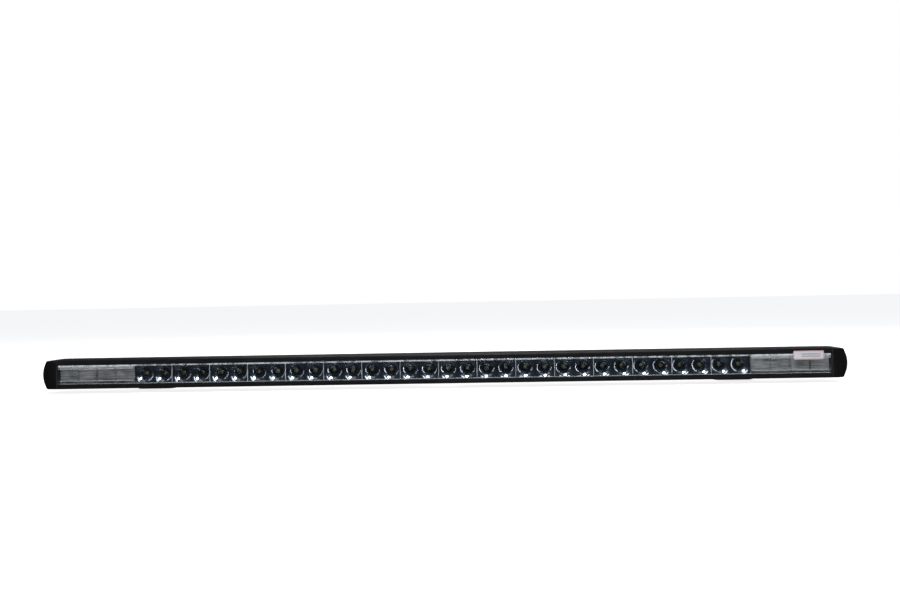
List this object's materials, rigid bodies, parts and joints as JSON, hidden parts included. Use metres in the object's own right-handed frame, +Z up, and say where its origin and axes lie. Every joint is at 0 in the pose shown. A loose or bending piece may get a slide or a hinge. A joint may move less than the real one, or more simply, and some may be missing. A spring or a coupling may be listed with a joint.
{
  "type": "led light bar",
  "caption": "Slim single-row LED light bar: finned black housing, end caps, clear lens over reflector modules, and two sliding, tilting feet behind it.",
  "frame": {"origin": "middle of the whole object's footprint, on the plane that the two feet stand on", "axes": "+X along the bar to its right-hand end as seen from in front, +Y to the back, so the light shines towards -Y, +Z up"},
  "size_m": [1.0614, 0.1084, 0.0448],
  "materials": {
    "housing_anodised": "fine satin black anodising over extruded aluminium",
    "end_cap_black": "satin black coat on die-cast aluminium",
    "lens_clear": "clear polycarbonate with a hard coat, glossy",
    "reflector_chrome": "moulded plastic with a mirror-bright metallised coat",
    "reflector_satin": "moulded plastic with a satin metallised coat",
    "diffuser_frosted": "frosted grey polycarbonate with fine horizontal flutes",
    "led_board_white": "white solder mask on an aluminium-core board, yellow phosphor on each LED",
    "driver_board_green": "green circuit board with black and grey components",
    "seal_rubber": "matt black silicone",
    "lead_sheath": "matt black cable sheath",
    "gland_nylon": "black moulded nylon",
    "screw_steel": "plain stainless steel",
    "bracket_black": "fine-textured black powder coat on steel",
    "label_white": "plain white sticker with a thin red border and grey bars"
  },
  "bodies": {
    "light_bar": {"housing": "housing_anodised", "lens": "lens_clear", "lens_gasket": "seal_rubber", "left_cap_gasket": "seal_rubber", "right_cap_gasket": "seal_rubber", "reflector_01": "reflector_satin", "reflector_02": "reflector_satin", "reflector_03": "reflector_chrome", "reflector_04": "reflector_chrome", "reflector_05": "reflector_chrome", "reflector_06": "reflector_chrome", "reflector_07": "reflector_chrome", "reflector_08": "reflector_chrome", "reflector_09": "reflector_chrome", "reflector_10": "reflector_chrome", "reflector_11": "reflector_chrome", "reflector_12": "reflector_chrome", "reflector_13": "reflector_chrome", "reflector_14": "reflector_chrome", "reflector_15": "reflector_chrome", "reflector_16": "reflector_chrome", "reflector_17": "reflector_chrome", "reflector_18": "reflector_chrome", "reflector_19": "reflector_satin", "reflector_20": "reflector_satin", "diffuser_01": "diffuser_frosted", "diffuser_02": "diffuser_frosted", "diffuser_19": "diffuser_frosted", "diffuser_20": "diffuser_frosted", "left_led_board": "led_board_white", "right_led_board": "led_board_white", "left_end_cap": "end_cap_black", "right_end_cap": "end_cap_black", "left_cap_screw_1": "screw_steel", "left_cap_screw_2": "screw_steel", "left_cap_screw_3": "screw_steel", "left_cap_screw_4": "screw_steel", "right_cap_screw_1": "screw_steel", "right_cap_screw_2": "screw_steel", "right_cap_screw_3": "screw_steel", "right_cap_screw_4": "screw_steel", "driver_board": "driver_board_green", "supply_lead": "lead_sheath", "led_lead": "lead_sheath", "cable_gland": "gland_nylon", "gland_cap": "gland_nylon", "breather_vent": "gland_nylon", "label": "label_white"},
    "left_carriage": {"left_slide_bracket": "bracket_black", "left_slot_nut": "screw_steel", "left_clamp_screw": "screw_steel"},
    "right_carriage": {"right_slide_bracket": "bracket_black", "right_slot_nut": "screw_steel", "right_clamp_screw": "screw_steel"},
    "left_tilt_foot": {"left_foot": "bracket_black", "left_hinge_bolt": "screw_steel", "left_hinge_nut": "screw_steel"},
    "right_tilt_foot": {"right_foot": "bracket_black", "right_hinge_bolt": "screw_steel", "right_hinge_nut": "screw_steel"}
  },
  "joints": [
    {"name": "left_foot_slide", "type": "slide", "parent": "light_bar", "child": "left_carriage", "axis": [1, 0, 0], "range_m": [-0.08, 0.3]},
    {"name": "left_foot_tilt", "type": "hinge", "parent": "left_carriage", "child": "left_tilt_foot", "pos_m": [-0.4, 0.02025, 0.0168], "axis": [1, 0, 0], "range_deg": [-30, 90]},
    {"name": "right_foot_slide", "type": "slide", "parent": "light_bar", "child": "right_carriage", "axis": [-1, 0, 0], "range_m": [-0.08, 0.3]},
    {"name": "right_foot_tilt", "type": "hinge", "parent": "right_carriage", "child": "right_tilt_foot", "pos_m": [0.4, 0.02025, 0.0168], "axis": [1, 0, 0], "range_deg": [-30, 90]}
  ]
}
